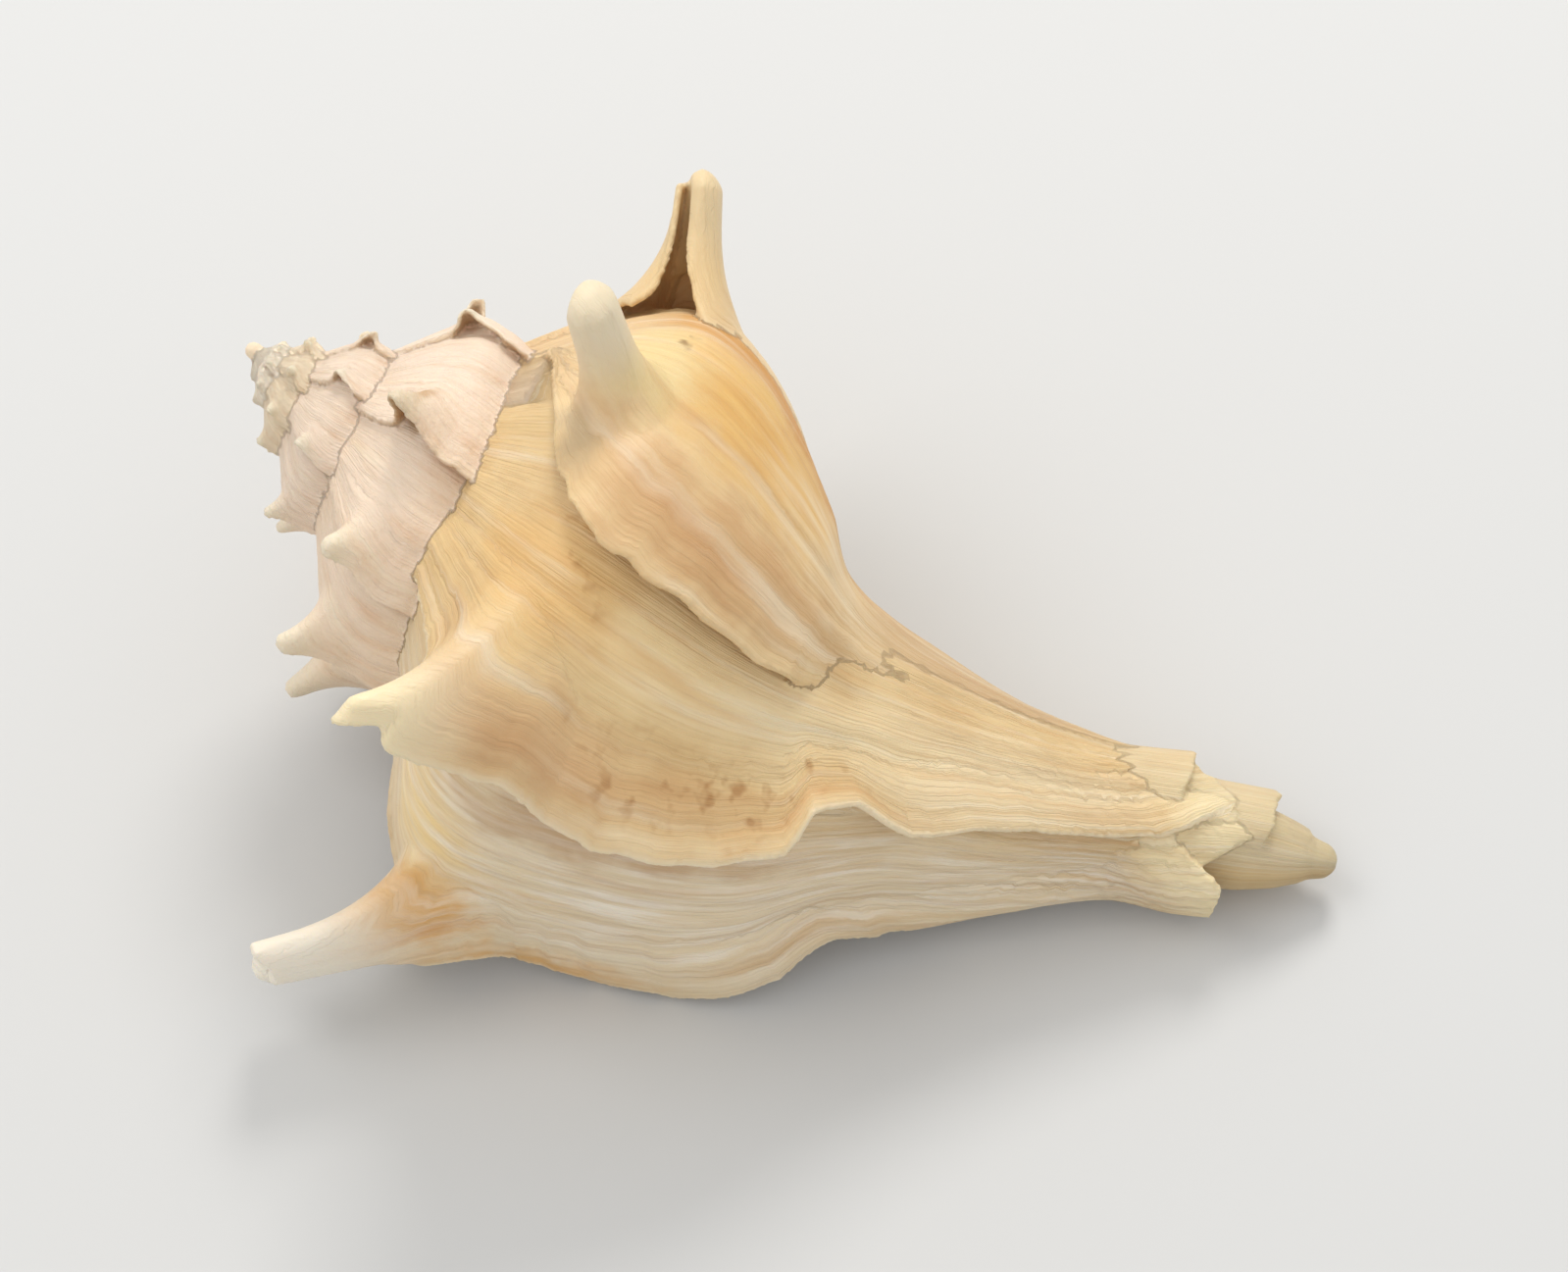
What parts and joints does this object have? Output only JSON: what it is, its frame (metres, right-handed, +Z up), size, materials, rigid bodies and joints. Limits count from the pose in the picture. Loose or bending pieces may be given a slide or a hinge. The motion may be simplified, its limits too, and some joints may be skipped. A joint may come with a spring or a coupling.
{
  "type": "murex shell",
  "caption": "Spiral murex seashell with open hooded spines along the shoulder, raised growth blades, an open mouth underneath and a long bent siphon canal.",
  "frame": {"origin": "middle of the shell's footprint, on the surface that it lies on", "axes": "+X towards the canal's tip, +Z up, with the mouth underneath, +Y to the side that the canal bends to"},
  "size_m": [0.115, 0.0854, 0.0639],
  "materials": {
    "shell": "matt to satin ivory shell with yellow-orange streaks along its growth lines"
  },
  "bodies": {
    "root": {"murex_shell": "shell"}
  },
  "joints": []
}
